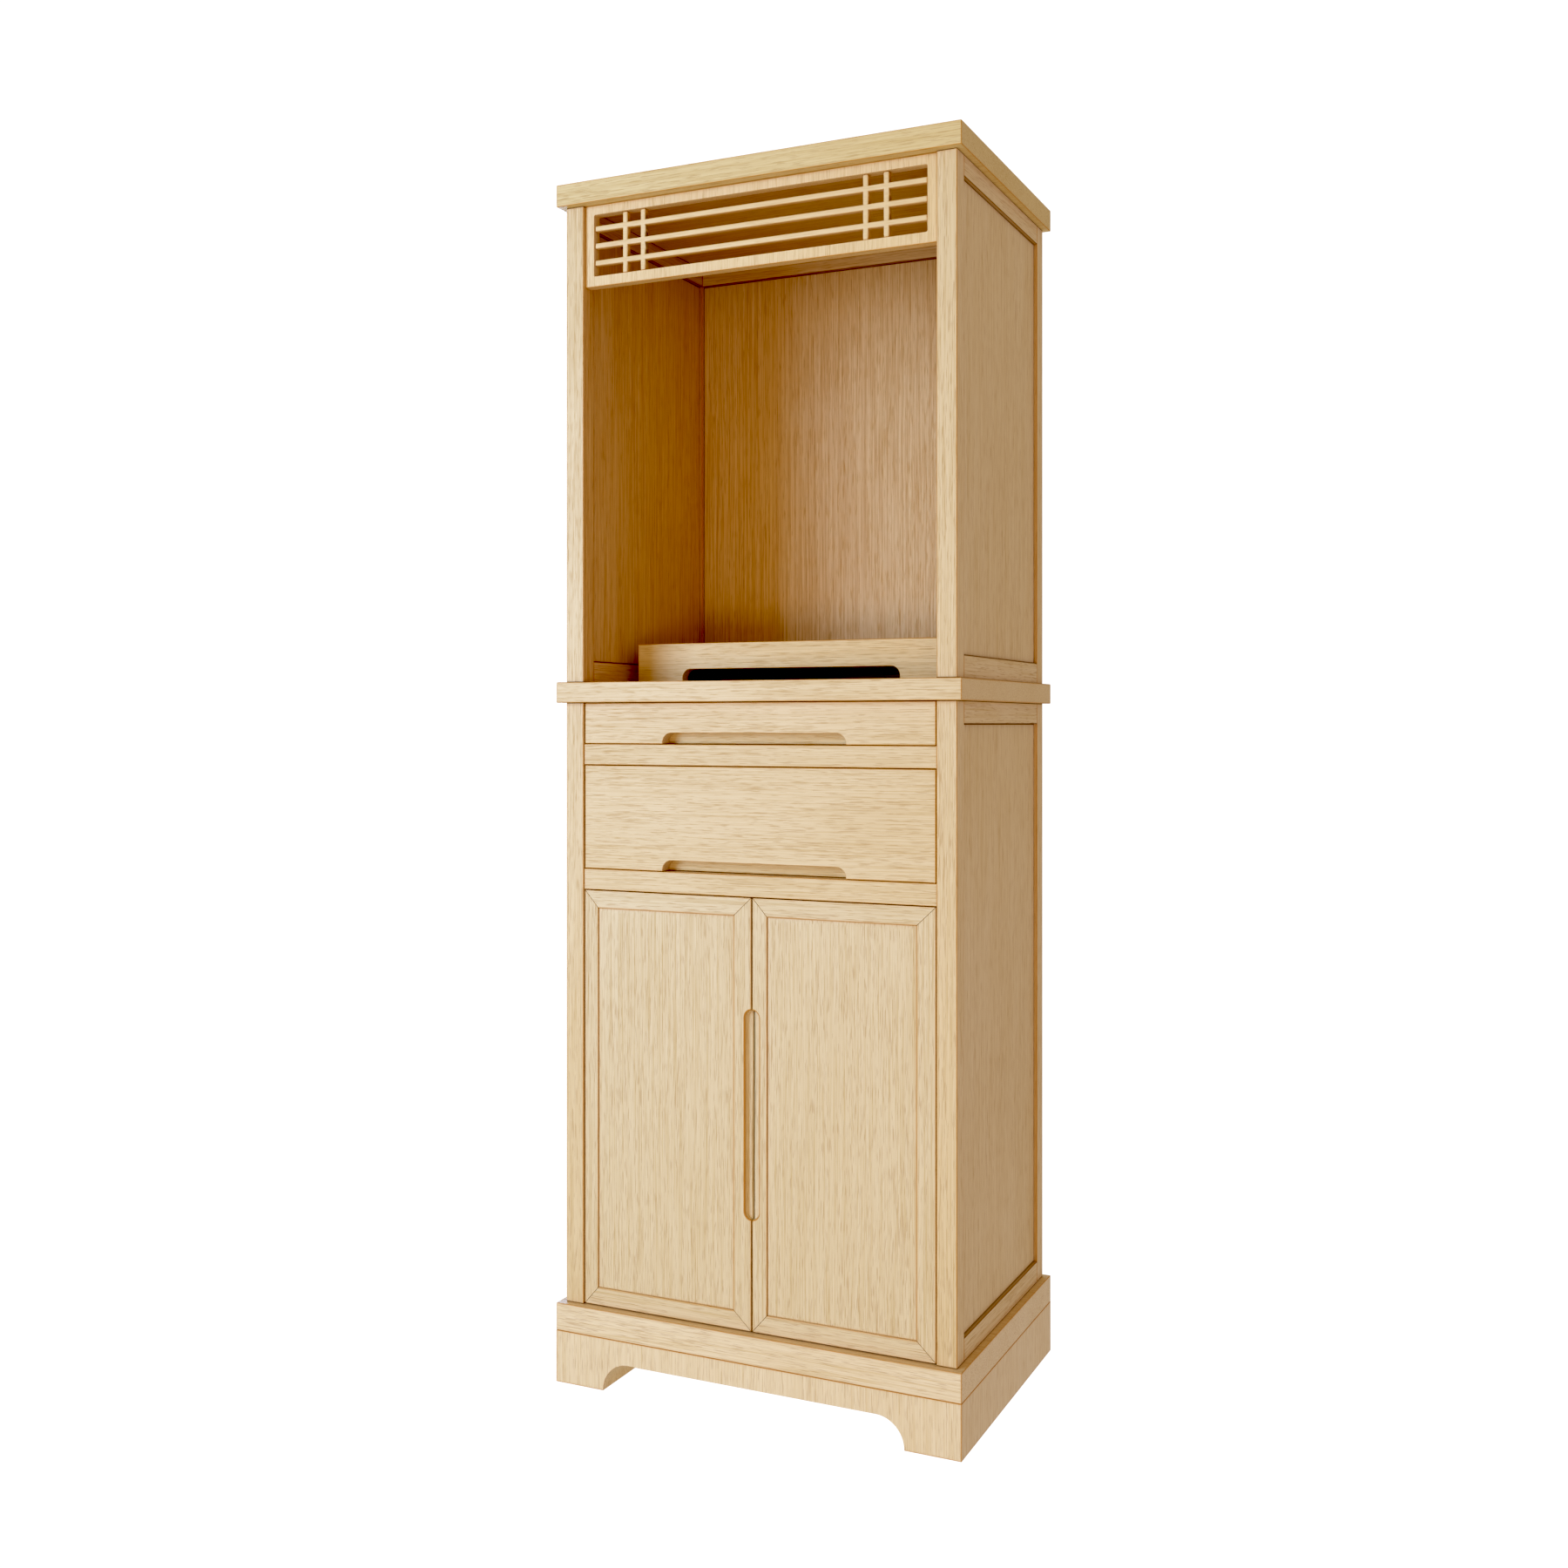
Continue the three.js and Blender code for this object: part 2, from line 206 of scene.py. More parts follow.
class Shader:
    """The node tree of a material or of the world"""

    def __init__(self, owner):
        owner.use_nodes = True
        self.tree = owner.node_tree
        self.tree.nodes.clear()

    def node(self, kind, options=None, values=None, output=0):
        """Adds a node: its options first, then the values or links of its sockets"""
        made = self.tree.nodes.new(kind)
        for key, value in (options or {}).items():
            setattr(made, key, value)
        for key, value in (values or {}).items():
            if isinstance(value, Socket):
                self.tree.links.new(value.socket, made.inputs[key])
            else:
                made.inputs[key].default_value = value
        return None if output is None else Socket(self, made.outputs[output])

    def place(self):
        """Where a point lies in the frame at rest, in metres"""
        return self.node("ShaderNodeTexCoord", output=3)

    def parts(self, vector):
        """The three parts of a vector"""
        first = self.node("ShaderNodeSeparateXYZ", None, {0: vector})
        return [Socket(self, output) for output in first.socket.node.outputs]

    def shift(self, vector, offset):
        return self.node("ShaderNodeVectorMath", {"operation": "ADD"}, {0: vector, 1: offset})

    def stretch(self, vector, factors):
        return self.node("ShaderNodeVectorMath", {"operation": "MULTIPLY"}, {0: vector, 1: factors})

    def ramp(self, value, low, high):
        """A smooth step from 0 to 1 as a value goes from one level to another"""
        return self.node("ShaderNodeMapRange", {"interpolation_type": "SMOOTHSTEP"}, {
            "Value": value, "From Min": low, "From Max": high})

    def blend(self, factor, first, second, kind="MIX"):
        """A mix of two colours, which have sockets of their own behind those for numbers"""
        return self.node("ShaderNodeMix", {"data_type": "RGBA", "blend_type": kind}, {
            0: factor, 6: first, 7: second}, output=2)

    def end(self, surface, kind="ShaderNodeOutputMaterial"):
        """Ends the tree with a surface"""
        self.node(kind, None, {"Surface": surface}, output=None)


def opaque(rgb):
    return (rgb[0], rgb[1], rgb[2], 1.0)


def mixed(first, second, part):
    """A colour some part of the way from one colour to another"""
    return [(1 - part) * f + part * s for f, s in zip(first, second)]


WHITE = opaque((1.0, 1.0, 1.0))


# Grain


class Waves(NamedTuple):
    """A noise: its waves in a metre across the grain and along it, and how fine and rough it is"""

    across: float
    along: float
    detail: float = 1.0
    roughness: float = 0.5


SWAY = Waves(5.0, 2.2)
CLOUD = Waves(11.0, 3.0, 2.0)
BAND = Waves(330.0, 2.4)
FIBRE = Waves(640.0, 7.0, 2.0, 0.7)
CLUSTER = Waves(70.0, 4.0, 2.0, 0.6)
DASH = Waves(960.0, 38.0)

# How far the grain lines sway, and the shift from one piece to the next, in metres
SWAY_REACH = 0.008
PIECE_SHIFT = (0.37, 0.61, 0.23)

# The tone runs from 0 for pale to 1 for deep: its middle, and what each noise adds to it
MIDDLE_TONE = 0.32
BAND_TONE = 0.6
FIBRE_TONE = 1.75
CLOUD_TONE = 0.35

# Pores begin at the first level of their noise and are full at the second
PORE_START = 0.57
PORE_FULL = 0.68
PORE_CLUSTERING = 0.22
PORE_STRENGTH = 0.42

# What fibres and pores add to the relief, and pores and clouds to the roughness
FIBRE_RELIEF = 0.25
PORE_RELIEF = 0.75
RELIEF_STRENGTH = 0.55
PORE_ROUGHNESS = 0.16
CLOUD_ROUGHNESS = 0.12
OIL_IOR = 1.45


class Grain(NamedTuple):
    """The noises of a piece of wood, each about 0.5, and its pores from 0 to 1"""

    cloud: Socket
    band: Socket
    fibre: Socket
    pores: Socket


def stretched(grain, across, along):
    """Factors for the three axes: one across the grain and another along it"""
    factors = [across, across, across]
    factors[grain] = along
    return tuple(factors)


def grain_noise(shader, place, grain, waves, output=0):
    """A noise drawn out along the grain"""
    vector = shader.stretch(place, stretched(grain, waves.across, waves.along))
    return shader.node("ShaderNodeTexNoise", None, {
        "Vector": vector, "Scale": 1.0, "Detail": waves.detail, "Roughness": waves.roughness}, output)


def piece_grain(shader, place, node, grain):
    """Grain along one axis, shifted by the node's number so that no two pieces match"""
    number = sorted(frame["nodes"]).index(node)
    place = shader.shift(place, [number * part for part in PIECE_SHIFT])
    sway = grain_noise(shader, place, grain, SWAY, output=1)
    bend = shader.stretch(shader.shift(sway, (-0.5, -0.5, -0.5)), stretched(grain, SWAY_REACH, 0.0))
    bent = shader.shift(place, bend)
    cloud = grain_noise(shader, place, grain, CLOUD)
    band = grain_noise(shader, bent, grain, BAND)
    fibre = grain_noise(shader, bent, grain, FIBRE)
    cluster = grain_noise(shader, bent, grain, CLUSTER)
    dash = grain_noise(shader, bent, grain, DASH)
    pores = shader.ramp(dash + (cluster - 0.5) * PORE_CLUSTERING, PORE_START, PORE_FULL)
    return Grain(cloud, band, fibre, pores)


def grain_colour(shader, noises, base, figure):
    """Pale wood with deeper bands and fibres and darker pores; figure is how strongly they show"""
    look = settings().wood
    deep = [b * d / p for b, d, p in zip(base, look.deep, look.pale)]
    bands = (noises.band - 0.5) * (BAND_TONE * figure)
    fibres = (noises.fibre - 0.5) * (FIBRE_TONE * figure)
    clouds = (noises.cloud - 0.5) * CLOUD_TONE
    tone = shader.ramp(MIDDLE_TONE + bands + fibres + clouds, 0.0, 1.0)
    ground = shader.blend(tone, opaque(base), opaque(deep))
    return shader.blend(noises.pores * (PORE_STRENGTH * figure), ground, opaque(look.pore))


# Painted shade at edges, at joints and in the niche

# How strong the painted shade line along an edge is, on most pieces and on the doors
EDGE_SHADE_LINE = 0.65
DOOR_SHADE_LINE = 0.45

# How strong the faint painted warm shade beside it is, and how far the wood of a lip goes to the edge shade
# colour
EDGE_SHADE_TINT = 0.12
LIP_SHADE_SHARE = 0.38

# As shares of the line's width: its solid core, and how far the fibres move it
LINE_CORE = 0.3
LINE_WANDER = 0.8

# The same for the painted shade line where a panel meets its frame, with its whole width and its strength
SEAM_CORE = 0.5
SEAM_WIDTH = 1.2
SEAM_WANDER = 0.6
SEAM_STRENGTH = 0.9

# The niche's painted shade begins behind the front of its posts and reaches into what surrounds it
NICHE_FRONT = 3 * MM
NICHE_REACH = 1 * MM
NICHE_SOFTNESS = 0.5 * MM

# What bands and fibres add to the streaks in the niche's painted shade, and what a streak takes away
BAND_STREAKS = 1.2
FIBRE_STREAKS = 1.6
STREAK_TONE = (0.90, 0.82, 0.72)

# How far below the ceiling the painted shade begins and is full, and how strong it is
TOP_SHADE_START = 110 * MM
TOP_SHADE_FULL = 10 * MM
TOP_SHADE_STRENGTH = 0.35


def face_distances(shader, place, low, high):
    """How deep a point lies in a box, along each axis"""
    distances = []
    for along, start, end in zip(shader.parts(place), low, high):
        distances.append((along - start).least(end - along))
    return distances


def edge_distance(depths):
    """How far a point on a box-shaped piece is from its nearest edge: the middle one of its depths"""
    first, second, third = depths
    return first.least(second).most(first.most(second).least(third))


def paint_shade_at_edges(shader, colour, depths, fibre, strength):
    """Painted shade: a darker line right at the edges, and a faint warm tint beside it"""
    look = settings().wood
    distance = edge_distance(depths) + (fibre - 0.5) * (LINE_WANDER * look.shade_line_width)
    line = 1.0 - shader.ramp(distance, LINE_CORE * look.shade_line_width, look.shade_line_width)
    warm_shade = 1.0 - shader.ramp(distance, 0.0, look.edge_width)
    return shader.blend(line * strength + warm_shade * EDGE_SHADE_TINT, colour, opaque(look.edge))


def paint_joint_shade(shader, colour, depths, fibre, seams):
    """Painted shade: a dark line at both ends of a piece along each axis in seams"""
    look = settings().wood
    for axis in seams:
        distance = depths[axis] + (fibre - 0.5) * (SEAM_WANDER * look.shade_line_width)
        dark = 1.0 - shader.ramp(distance, SEAM_CORE * look.shade_line_width, SEAM_WIDTH * look.shade_line_width)
        colour = shader.blend(dark * SEAM_STRENGTH, colour, opaque(look.seam))
    return colour


def niche_room():
    """The room of the niche, a little into what surrounds it"""
    reach = Vector((1, 1, 1)) * NICHE_REACH
    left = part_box("upper_panel_left")[1].x
    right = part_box("upper_panel_right")[0].x
    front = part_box("upper_post_front_left")[0].y + NICHE_FRONT
    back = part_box("upper_panel_back")[0].y
    low = Vector((left, front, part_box("waist_board")[1].z))
    high = Vector((right, back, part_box("top_board")[0].z))
    return low - reach, high + reach


def paint_niche_shade(shader, colour, place, noises):
    """Painted shade inside the niche: darker and more streaky, and browner under its ceiling"""
    look = settings().wood
    low, high = niche_room()
    first, second, third = face_distances(shader, place, low, high)
    inside = shader.ramp(first.least(second).least(third), -NICHE_SOFTNESS, NICHE_SOFTNESS)
    streaks = (noises.fibre - 0.5) * FIBRE_STREAKS + (noises.band - 0.5) * BAND_STREAKS + 0.5
    streak_tone = [n * s for n, s in zip(look.niche, STREAK_TONE)]
    tone = shader.blend(shader.ramp(streaks, 0.0, 1.0), opaque(look.niche), opaque(streak_tone))
    height = shader.parts(place)[UPRIGHT]
    ceiling_shade = shader.ramp(height, high.z - TOP_SHADE_START, high.z - TOP_SHADE_FULL)
    tone = shader.blend(ceiling_shade * TOP_SHADE_STRENGTH, tone, opaque(look.ceiling_shade))
    tone = shader.blend(inside, WHITE, tone)
    return shader.blend(1.0, colour, tone, "MULTIPLY")


def wood(name, node, grain, base, figure, seams=(), edge_shade=EDGE_SHADE_LINE):
    """Oiled wood for a node, its grain along one axis"""
    look = settings().wood
    material = bpy.data.materials.new(name)
    shader = Shader(material)
    place = shader.place()
    noises = piece_grain(shader, place, node, grain)
    depths = face_distances(shader, place, *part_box(node))
    colour = grain_colour(shader, noises, base, figure)
    colour = paint_shade_at_edges(shader, colour, depths, noises.fibre, edge_shade)
    colour = paint_joint_shade(shader, colour, depths, noises.fibre, seams)
    if node.startswith(NICHE_PIECES):
        colour = paint_niche_shade(shader, colour, place, noises)
    relief = (noises.fibre - 0.5) * FIBRE_RELIEF - noises.pores * PORE_RELIEF
    normal = shader.node("ShaderNodeBump", None, {
        "Strength": RELIEF_STRENGTH, "Distance": look.pore_depth, "Height": relief})
    roughness = look.satin + (noises.pores * PORE_ROUGHNESS + (noises.cloud - 0.5) * CLOUD_ROUGHNESS)
    shader.end(shader.node("ShaderNodeBsdfPrincipled", None, {
        "Base Color": colour, "Roughness": roughness, "Normal": normal, "IOR": OIL_IOR}))
    return material


# Meshes

# Edges sharper than this are rounded, and neighbouring faces flatter than this become one
SHARP = math.radians(30.0)
FLAT = math.radians(0.5)

# Points nearer than this are one point
SAME_POINT = 0.01 * MM

# A face looks along an axis when its normal is at least this far along it
FACING = 0.9


def finish_piece(bm, node, grain, base=None, figure=1.0, seams=(), lip=None, edge_shade=EDGE_SHADE_LINE):
    """Turns a mesh into the piece that stands for a node. Faces with material 1, its lip, are painted
    with a darker and more orange edge shade, or the colour given as lip"""
    look = settings().wood
    base = base or look.pale
    bmesh.ops.recalc_face_normals(bm, faces=bm.faces)
    mesh = bpy.data.meshes.new(f"{node}_wood")
    bm.to_mesh(mesh)
    bm.free()
    for face in mesh.polygons:
        face.use_smooth = True
    piece = bpy.data.objects.new(f"{node}_wood", mesh)
    bpy.context.scene.collection.objects.link(piece)
    even = piece.modifiers.new("Even normals", "WEIGHTED_NORMAL")
    even.keep_sharp = True
    mesh.materials.append(wood(f"{node}_wood_grain", node, grain, base, figure, seams, edge_shade))
    if any(face.material_index for face in mesh.polygons):
        lip_shade_colour = lip or mixed(base, look.edge, LIP_SHADE_SHARE)
        mesh.materials.append(wood(f"{node}_wood_lip", node, grain, lip_shade_colour, figure))
    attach(piece, BODY_OF[node])
    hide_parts(node)


def ease_edges(bm, width, finish=-1, steps=3):
    """Rounds every sharp edge; finish is the material of the rounding, or -1 for that of its faces"""
    edges = [edge for edge in bm.edges if edge.is_manifold and edge.calc_face_angle(0.0) > SHARP]
    bmesh.ops.bevel(
        bm, geom=edges, offset=width, offset_type="OFFSET", segments=steps, profile=0.5,
        affect="EDGES", clamp_overlap=True, material=finish)


def box_mesh(low, high):
    bm = bmesh.new()
    size = [h - l for l, h in zip(low, high)]
    middle = [(h + l) / 2 for l, h in zip(low, high)]
    bmesh.ops.create_cube(bm, size=1.0, matrix=Matrix.LocRotScale(Vector(middle), None, Vector(size)))
    return bm


def node_mesh(node):
    """The outline of a node as a closed mesh with its flat faces in one piece"""
    bm = bmesh.new()
    bm.from_mesh(frame["nodes"][node].data)
    bmesh.ops.remove_doubles(bm, verts=bm.verts, dist=SAME_POINT)
    bmesh.ops.dissolve_limit(
        bm, angle_limit=FLAT, verts=bm.verts, edges=bm.edges, use_dissolve_boundaries=False)
    return bm


def join_rings(bm, rings, lip_bands=()):
    """Covers a row of rings of points and closes both ends; bands in lip_bands have material 1"""
    for band, (first, second) in enumerate(zip(rings, rings[1:])):
        for index in range(len(first)):
            after = (index + 1) % len(first)
            face = bm.faces.new((first[index], first[after], second[after], second[index]))
            face.material_index = 1 if band in lip_bands else 0
    bm.faces.new(list(reversed(rings[0])))
    bm.faces.new(rings[-1])


def quarter_turn(steps):
    """Angles from 0 to 90 degrees in equal steps"""
    return [math.pi / 2 * step / steps for step in range(steps + 1)]


def eased_box(node, grain, ease, **finish):
    """A box with rounded edges; finish is what finish_piece takes by name"""
    bm = box_mesh(*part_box(node))
    ease_edges(bm, ease)
    finish_piece(bm, node, grain, **finish)


def stepped_box(node, grain, ease, axis, ways, **finish):
    """A box whose faces along one axis, seen as narrow steps beside a panel, are a lip painted with shade
    """
    bm = box_mesh(*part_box(node))
    ease_edges(bm, ease)
    bm.normal_update()
    for face in bm.faces:
        if any(face.normal[axis] * way > FACING for way in ways):
            face.material_index = 1
    finish_piece(bm, node, grain, **finish)


def eased_copy(node, grain, ease, **finish):
    """A copy of a node's own outline, whose rounded edges are a lip painted with shade"""
    bm = node_mesh(node)
    ease_edges(bm, ease, 1)
    finish_piece(bm, node, grain, **finish)


# Frame and panel

# How far the faces of a rail beside a panel go from the pale wood to the colour of the painted joint shade:
# painted shade on the steps beside the panel
RAIL_SHADE = 0.5


def build_rails(prefix, grain):
    """The top and bottom rail round a panel, with painted shade on the steps towards it"""
    look = settings().wood
    shaded = mixed(look.pale, look.seam, RAIL_SHADE)
    for level in ("top", "bottom"):
        stepped_box(
            f"{prefix}_{level}", grain, settings().joinery.rail_ease, UPRIGHT, (-1, 1),
            seams=(UPRIGHT,), lip=shaded)


def build_storey(storey):
    """The posts, rails and panels round one storey"""
    joinery = settings().joinery
    for side in SIDES:
        eased_box(f"{storey}_post_front_{side}", UPRIGHT, joinery.post_ease, seams=(UPRIGHT,))
        # The faces of the back posts towards the front are a lip painted with shade
        stepped_box(
            f"{storey}_post_back_{side}", UPRIGHT, joinery.post_ease, DEEP, (-1,), seams=(UPRIGHT,))
        eased_box(f"{storey}_panel_{side}", UPRIGHT, joinery.rail_ease, seams=(DEEP, UPRIGHT))
        build_rails(f"{storey}_rail_{side}", DEEP)
    eased_box(f"{storey}_panel_back", UPRIGHT, joinery.rail_ease, seams=(ACROSS, UPRIGHT))
    build_rails(f"{storey}_rail_back", ACROSS)


# Lattice

# Middles of the short bars, measured from the lattice's left end and from its right end
BARS_FROM_LEFT = (49.7 * MM, 78.7 * MM)
BARS_FROM_RIGHT = (87.2 * MM, 57.7 * MM)

# Faces of a bar that look less than this far to the front or the back are a lip painted with shade: the
# sides and undersides of the bars
BAR_FRONT = 0.7


def lattice_bars():
    """Three long bars crossed by two pairs of short ones, all with rounded edges and ends"""
    joinery = settings().joinery
    low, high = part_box("lattice_bars")
    middle = (low.z + high.z) / 2
    half = joinery.bar_width / 2
    spots = []
    for row in (-1, 0, 1):
        level = middle + row * joinery.bar_pitch
        spots.append((Vector((low.x, low.y, level - half)), Vector((high.x, high.y, level + half))))
    columns = [low.x + run for run in BARS_FROM_LEFT] + [high.x - run for run in BARS_FROM_RIGHT]
    for column in columns:
        spots.append((Vector((column - half, low.y, low.z)), Vector((column + half, high.y, high.z))))
    bars = []
    for start, end in spots:
        bar = box_mesh(start, end)
        ease_edges(bar, joinery.bar_ease, steps=4)
        bar.normal_update()
        for face in bar.faces:
            # The sides and undersides of the bars take painted shade
            face.material_index = 1 if abs(face.normal.y) < BAR_FRONT else 0
        bars.append(bar)
    whole = bars[0]
    for bar in bars[1:]:
        whole = combine(whole, bar, "UNION")
    return whole


# Doors

# The joint line of a mitre, how far along each member stays back for it, and the chamfer beside it
JOIN_GAP = 0.3 * MM
MITRE_GAP = JOIN_GAP / math.sqrt(2)
MITRE_LIP = 0.6 * MM

# A door panel's rounded rim, and the soft break between its sloping border and its flat
PANEL_RIM = 0.4 * MM
BREAK_FALL = 0.1 * MM
BREAK_WIDTH = 1.2 * MM

# The finger pull: half its width, its foot above the base board, its height, its depth, the
# rounding round its floor, how far its cutter stands out, and how far its lip goes to the edge shade colour
PULL_HALF = 10.5 * MM
PULL_FOOT = 153.5 * MM
PULL_HEIGHT = 285 * MM
PULL_DEPTH = 7.5 * MM
PULL_HOLLOW = 1.2 * MM
PULL_CLEARANCE = 3 * MM
PULL_LIP_SHADE = 0.8

FRAME_STEPS = 4
LIP_STEPS = 5
PULL_END_STEPS = 16


def frame_profile(depth, width):
    """Section of a door frame member: from the outer edge inwards, and from the front face back"""
    outer = settings().joinery.frame_round
    inner = settings().joinery.frame_lip
    points = []
    for turn in quarter_turn(FRAME_STEPS):
        points.append((outer * (1 - math.cos(turn)), outer * (1 - math.sin(turn))))
    for turn in quarter_turn(FRAME_STEPS):
        points.append((width - inner + inner * math.sin(turn), inner * (1 - math.cos(turn))))
    return points + [(width, depth), (0.0, depth)]


def mitred_member(node, outer_low, outer_high, side, widths):
    """A member of a mitred frame, swept along one side of the door and cut to the mitre line at
    both ends. The widths are its own and those of its neighbours at its start and its end"""
    low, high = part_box(node)
    width, start_width, end_width = widths
    section = frame_profile(high.y - low.y, width)
    start, end, along, inward = side(outer_low, outer_high)
    reach = (end - start).length
    stops = (
        (True, 0.0, MITRE_LIP), (True, MITRE_LIP, 0.0),
        (False, MITRE_LIP, 0.0), (False, 0.0, MITRE_LIP))
    bm = bmesh.new()
    rings = []
    for at_start, back_off, drop in stops:
        slope = (start_width if at_start else end_width) / width
        ring = []
        for across, into in section:
            run = across * slope + MITRE_GAP + back_off
            spot = start + along * (run if at_start else reach - run) + inward * across
            ring.append(bm.verts.new((spot.x, low.y + max(into, drop), spot.z)))
        rings.append(ring)
    join_rings(bm, rings)
    bmesh.ops.remove_doubles(bm, verts=bm.verts, dist=SAME_POINT)
    return bm


def bordered_panel(node):
    """A door panel whose front falls away a little in a border along its edges"""
    border = settings().joinery.panel_border
    low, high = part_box(node)
    slope_foot = low.y + settings().joinery.panel_slope
    levels = (
        (0.0, high.y),
        (0.0, slope_foot + PANEL_RIM),
        (PANEL_RIM, slope_foot),
        (border, low.y + BREAK_FALL),
        (border + BREAK_WIDTH, low.y))
    bm = bmesh.new()
    rings = []
    for inset, depth in levels:
        corners = (
            (low.x + inset, low.z + inset), (high.x - inset, low.z + inset),
            (high.x - inset, high.z - inset), (low.x + inset, high.z - inset))
        rings.append([bm.verts.new((x, depth, z)) for x, z in corners])
    join_rings(bm, rings)
    return bm


def side_left(low, high):
    return Vector((low.x, 0, high.z)), Vector((low.x, 0, low.z)), Vector((0, 0, -1)), Vector((1, 0, 0))


def side_right(low, high):
    return Vector((high.x, 0, low.z)), Vector((high.x, 0, high.z)), Vector((0, 0, 1)), Vector((-1, 0, 0))


def side_bottom(low, high):
    return Vector((low.x, 0, low.z)), Vector((high.x, 0, low.z)), Vector((1, 0, 0)), Vector((0, 0, 1))


def side_top(low, high):
    return Vector((high.x, 0, high.z)), Vector((low.x, 0, high.z)), Vector((-1, 0, 0)), Vector((0, 0, -1))


def pull_cutter(front):
    """The finger pull as a cutter: an upright slot with round ends and a flared lip"""
    lip = settings().joinery.pull_lip
    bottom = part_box("base_board")[1].z + PULL_FOOT
    top = bottom + PULL_HEIGHT
    levels = [
        (PULL_DEPTH, PULL_HALF - PULL_HOLLOW),
        (PULL_DEPTH - PULL_HOLLOW / 3, PULL_HALF - PULL_HOLLOW / 3),
        (PULL_DEPTH - PULL_HOLLOW, PULL_HALF)]
    # The rounded lip round the pull is painted with shade
    lip_bands = range(len(levels), len(levels) + LIP_STEPS)
    for turn in quarter_turn(LIP_STEPS):
        levels.append((lip * (1 - math.sin(turn)), PULL_HALF + lip * (1 - math.cos(turn))))
    levels.append((-PULL_CLEARANCE, PULL_HALF + lip))
    bm = bmesh.new()
    rings = []
    for into, radius in levels:
        ring = []
        for centre, begin in ((top - PULL_HALF, 0.0), (bottom + PULL_HALF, math.pi)):
            for step in range(PULL_END_STEPS + 1):
                turn = begin + math.pi * step / PULL_END_STEPS
                ring.append(bm.verts.new((
                    radius * math.cos(turn), front + into, centre + radius * math.sin(turn))))
        rings.append(ring)
    join_rings(bm, rings, lip_bands)
    return bm


def combine(bm, cutter, operation):
    """What a Boolean operation of two closed meshes leaves"""
    objects = []
    for name, source in (("work", bm), ("tool", cutter)):
        bmesh.ops.recalc_face_normals(source, faces=source.faces)
        mesh = bpy.data.meshes.new(name)
        source.to_mesh(mesh)
        source.free()
        made = bpy.data.objects.new(name, mesh)
        bpy.context.scene.collection.objects.link(made)
        objects.append(made)
    work, tool = objects
    boolean = work.modifiers.new("Combine", "BOOLEAN")
    boolean.operation = operation
    boolean.solver = "EXACT"
    boolean.object = tool
    bpy.context.view_layer.update()
    result = bmesh.new()
    result.from_object(work, bpy.context.evaluated_depsgraph_get())
    for made in objects:
        mesh = made.data
        bpy.data.objects.remove(made)
        bpy.data.meshes.remove(mesh)
    return result


def node_size(node):
    low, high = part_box(node)
    return high - low


def build_door(prefix, hinge_on_left):
    """A mitred frame round a panel; the meeting stile has its half of the finger pull cut out"""
    look = settings().wood
    finish = {"base": look.door, "edge_shade": DOOR_SHADE_LINE, "lip": mixed(look.pale, look.edge, PULL_LIP_SHADE)}
    hinge = f"{prefix}_stile_hinge"
    meeting = f"{prefix}_stile_meeting"
    left, right = (hinge, meeting) if hinge_on_left else (meeting, hinge)
    hinge_side, meeting_side = (side_left, side_right) if hinge_on_left else (side_right, side_left)
    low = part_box(left)[0]
    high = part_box(right)[1]
    left_width = node_size(left).x
    right_width = node_size(right).x
    rail_width = node_size(f"{prefix}_rail_top").z
    members = (
        (hinge, UPRIGHT, hinge_side, (node_size(hinge).x, rail_width, rail_width)),
        (meeting, UPRIGHT, meeting_side, (node_size(meeting).x, rail_width, rail_width)),
        (f"{prefix}_rail_bottom", ACROSS, side_bottom, (rail_width, left_width, right_width)),
        (f"{prefix}_rail_top", ACROSS, side_top, (rail_width, right_width, left_width)))
    for node, grain, side, widths in members:
        member = mitred_member(node, low, high, side, widths)
        if node == meeting:
            member = combine(member, pull_cutter(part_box(node)[0].y), "DIFFERENCE")
        finish_piece(member, node, grain, **finish)
    finish_piece(bordered_panel(f"{prefix}_panel"), f"{prefix}_panel", UPRIGHT, **finish)


# Operators

# How strongly the figure shows where it is calmer than elsewhere
PLINTH_FIGURE = 0.8
INSIDE_FIGURE = 0.7
LATTICE_FIGURE = 0.7
BAR_FIGURE = 0.4

# Painted shade on the base board's upper face, which shows as a narrow step
BASE_BOARD_STEP_SHADE = 0.2


class CABINET_OT_boards(bpy.types.Operator):
    """Builds the plinth and the three wide boards"""

    bl_idname = "cabinet.boards"
    bl_label = "Plinth and boards"

    def execute(self, context):
        ease = settings().joinery.board_ease
        look = settings().wood
        lip_shade_colour = mixed(look.pale, look.edge, BASE_BOARD_STEP_SHADE)
        eased_copy("plinth", UPRIGHT, ease, base=look.foot, figure=PLINTH_FIGURE)
        stepped_box("base_board", ACROSS, ease, UPRIGHT, (1,), base=look.foot, lip=lip_shade_colour)
        eased_box("waist_board", ACROSS, ease)
        eased_box("top_board", ACROSS, ease, base=look.top)
        return {"FINISHED"}


class CABINET_OT_carcase(bpy.types.Operator):
    """Builds the posts, rails and panels of both storeys, and the two dividers"""

    bl_idname = "cabinet.carcase"
    bl_label = "Posts, rails and panels"

    def execute(self, context):
        for storey in STOREYS:
            build_storey(storey)
        for node in ("divider_lower", "divider_upper"):
            eased_box(node, ACROSS, settings().joinery.drawer_ease)
        return {"FINISHED"}


